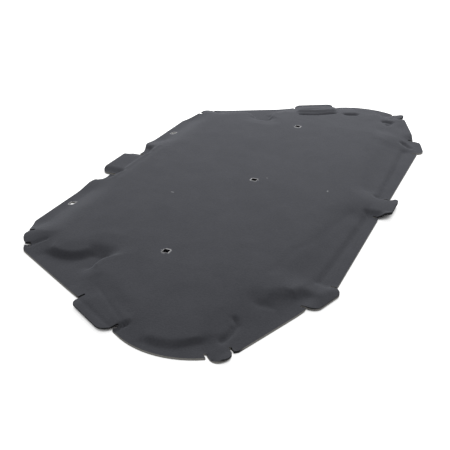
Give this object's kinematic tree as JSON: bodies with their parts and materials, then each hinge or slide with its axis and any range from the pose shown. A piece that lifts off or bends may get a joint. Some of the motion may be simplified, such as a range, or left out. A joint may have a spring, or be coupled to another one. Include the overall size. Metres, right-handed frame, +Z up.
{
  "type": "hood insulation pad",
  "caption": "Wide pressed felt pad with a lobed plateau, a thin trimmed rim with edge tabs and square clip holes, which lines the underside of a car's hood.",
  "frame": {"origin": "bottom centre of the pad's box, on the surface that the rim lies on", "axes": "+Z up through the felt, +X across the pad along its longest extent, +Y towards the narrower front edge"},
  "size_m": [1.3358, 0.706, 0.022],
  "materials": {
    "felt": "matte charcoal needled fleece over pressed felt"
  },
  "bodies": {
    "root": {"insulation_pad": "felt"}
  },
  "joints": []
}
